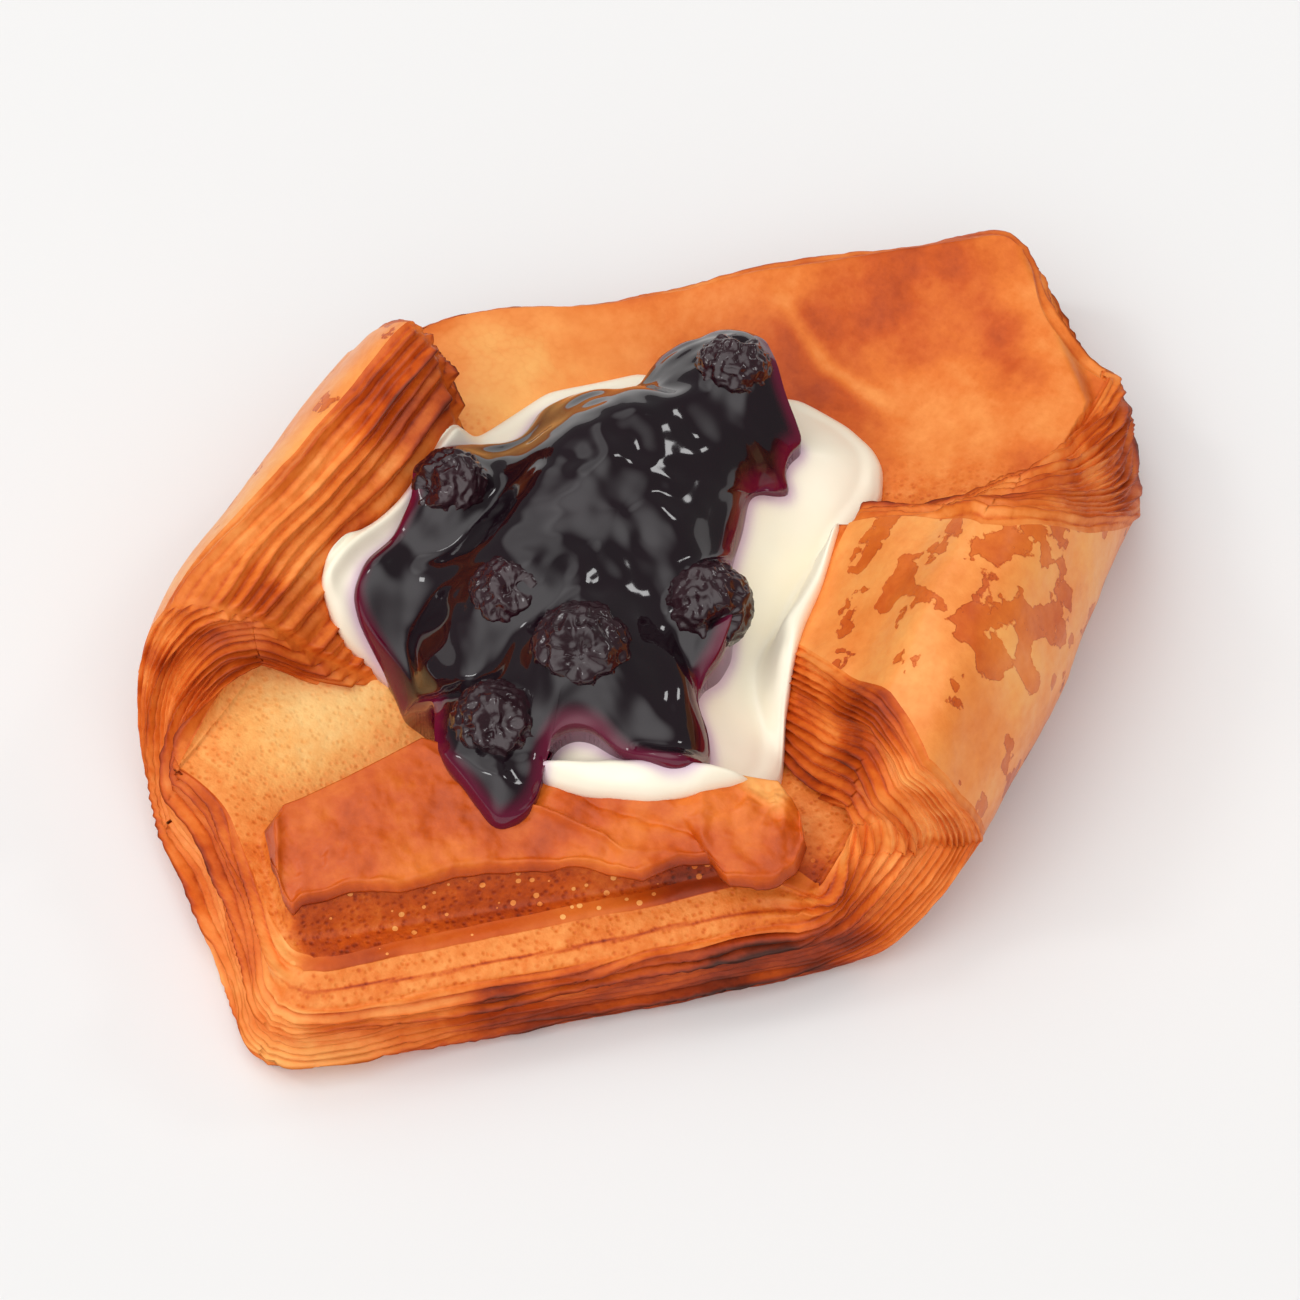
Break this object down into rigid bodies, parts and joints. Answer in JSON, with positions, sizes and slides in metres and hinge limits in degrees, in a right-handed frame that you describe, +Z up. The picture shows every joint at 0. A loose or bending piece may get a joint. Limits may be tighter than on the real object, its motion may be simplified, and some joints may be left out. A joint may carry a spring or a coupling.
{
  "type": "blueberry danish",
  "caption": "Square of laminated pastry with two corners folded over a pool of set cream, topped with a glossy compote of whole blueberries.",
  "frame": {"origin": "centre of the bounding box in plan, on the surface the danish rests on", "axes": "+X along the long diagonal, between the two open corners; +Y towards one folded side; +Z up"},
  "size_m": [0.1342, 0.0924, 0.0324],
  "materials": {
    "pastry": "baked laminated dough, satin to matte, golden to red-brown",
    "cream": "smooth set cream, soft sheen",
    "compote": "wet glossy fruit compote",
    "berry": "wrinkled berry skin under a wet glaze"
  },
  "bodies": {
    "root": {"pastry": "pastry", "cream": "cream", "compote": "compote", "berry_1": "berry", "berry_2": "berry", "berry_3": "berry", "berry_4": "berry", "berry_5": "berry", "berry_6": "berry"}
  },
  "joints": []
}
